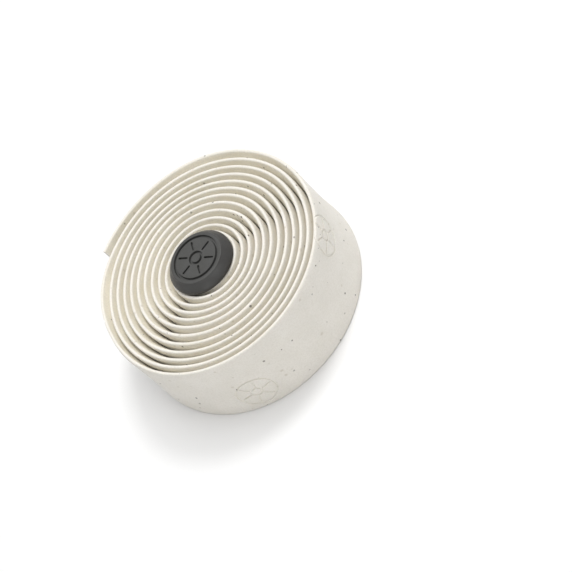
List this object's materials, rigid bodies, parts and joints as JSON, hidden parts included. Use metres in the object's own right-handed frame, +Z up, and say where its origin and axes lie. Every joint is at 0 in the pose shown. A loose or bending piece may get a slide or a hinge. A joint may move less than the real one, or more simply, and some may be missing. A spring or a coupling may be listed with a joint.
{
  "type": "handlebar tape roll",
  "caption": "Roll of bevelled foam handlebar tape, wound as one spiral strip with a loose outer end, lying flat with a ribbed bar-end plug pushed into its centre.",
  "frame": {"origin": "under the middle of the roll, on the surface that it lies on", "axes": "+Z up the roll's axis, out of the plug's head; -Y towards the side that the picture shows nearest; the strip's loose end is at the back, left of +Y"},
  "size_m": [0.0838, 0.0856, 0.0344],
  "materials": {
    "tape_foam": "matte closed-cell foam with sparse dark specks",
    "plug_plastic": "fine matte moulded plastic"
  },
  "bodies": {
    "root": {"tape_roll": "tape_foam", "bar_end_plug": "plug_plastic"}
  },
  "joints": []
}
